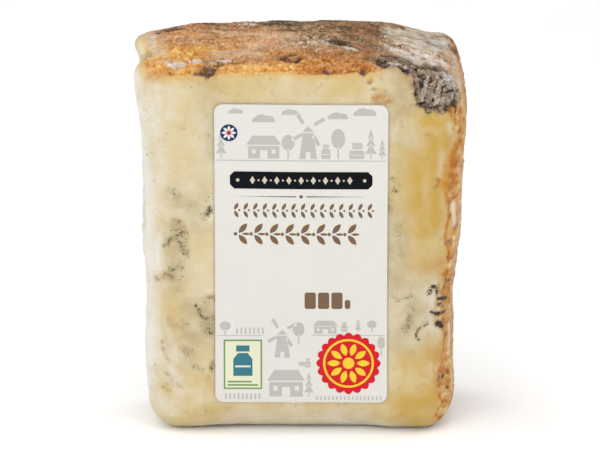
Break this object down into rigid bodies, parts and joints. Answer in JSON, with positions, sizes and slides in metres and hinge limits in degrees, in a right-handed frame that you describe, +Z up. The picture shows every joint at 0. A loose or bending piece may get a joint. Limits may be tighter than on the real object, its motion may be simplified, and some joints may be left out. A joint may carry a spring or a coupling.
{
  "type": "wrapped wedge of blue cheese",
  "caption": "Blunt wedge of blue-veined cheese with rind on its top and outer side, tight in clear film, with a paper label on the front cut face; stands upright on its cut base.",
  "frame": {"origin": "middle of the bottom of the object's box, on the surface it stands on", "axes": "+Z up, -Y out of the labelled front cut face, +X towards the outer rind, -X towards the blunt nose"},
  "size_m": [0.0768, 0.0392, 0.0923],
  "materials": {
    "cheese_in_film": "moist ivory to ochre paste with blue veins and orange to grey rind, under tight clear film",
    "label_paper": "satin off-white label stock with printed fields of grey, black, brown, red and yellow"
  },
  "bodies": {
    "root": {"wrapped_wedge": "cheese_in_film", "label": "label_paper"}
  },
  "joints": []
}
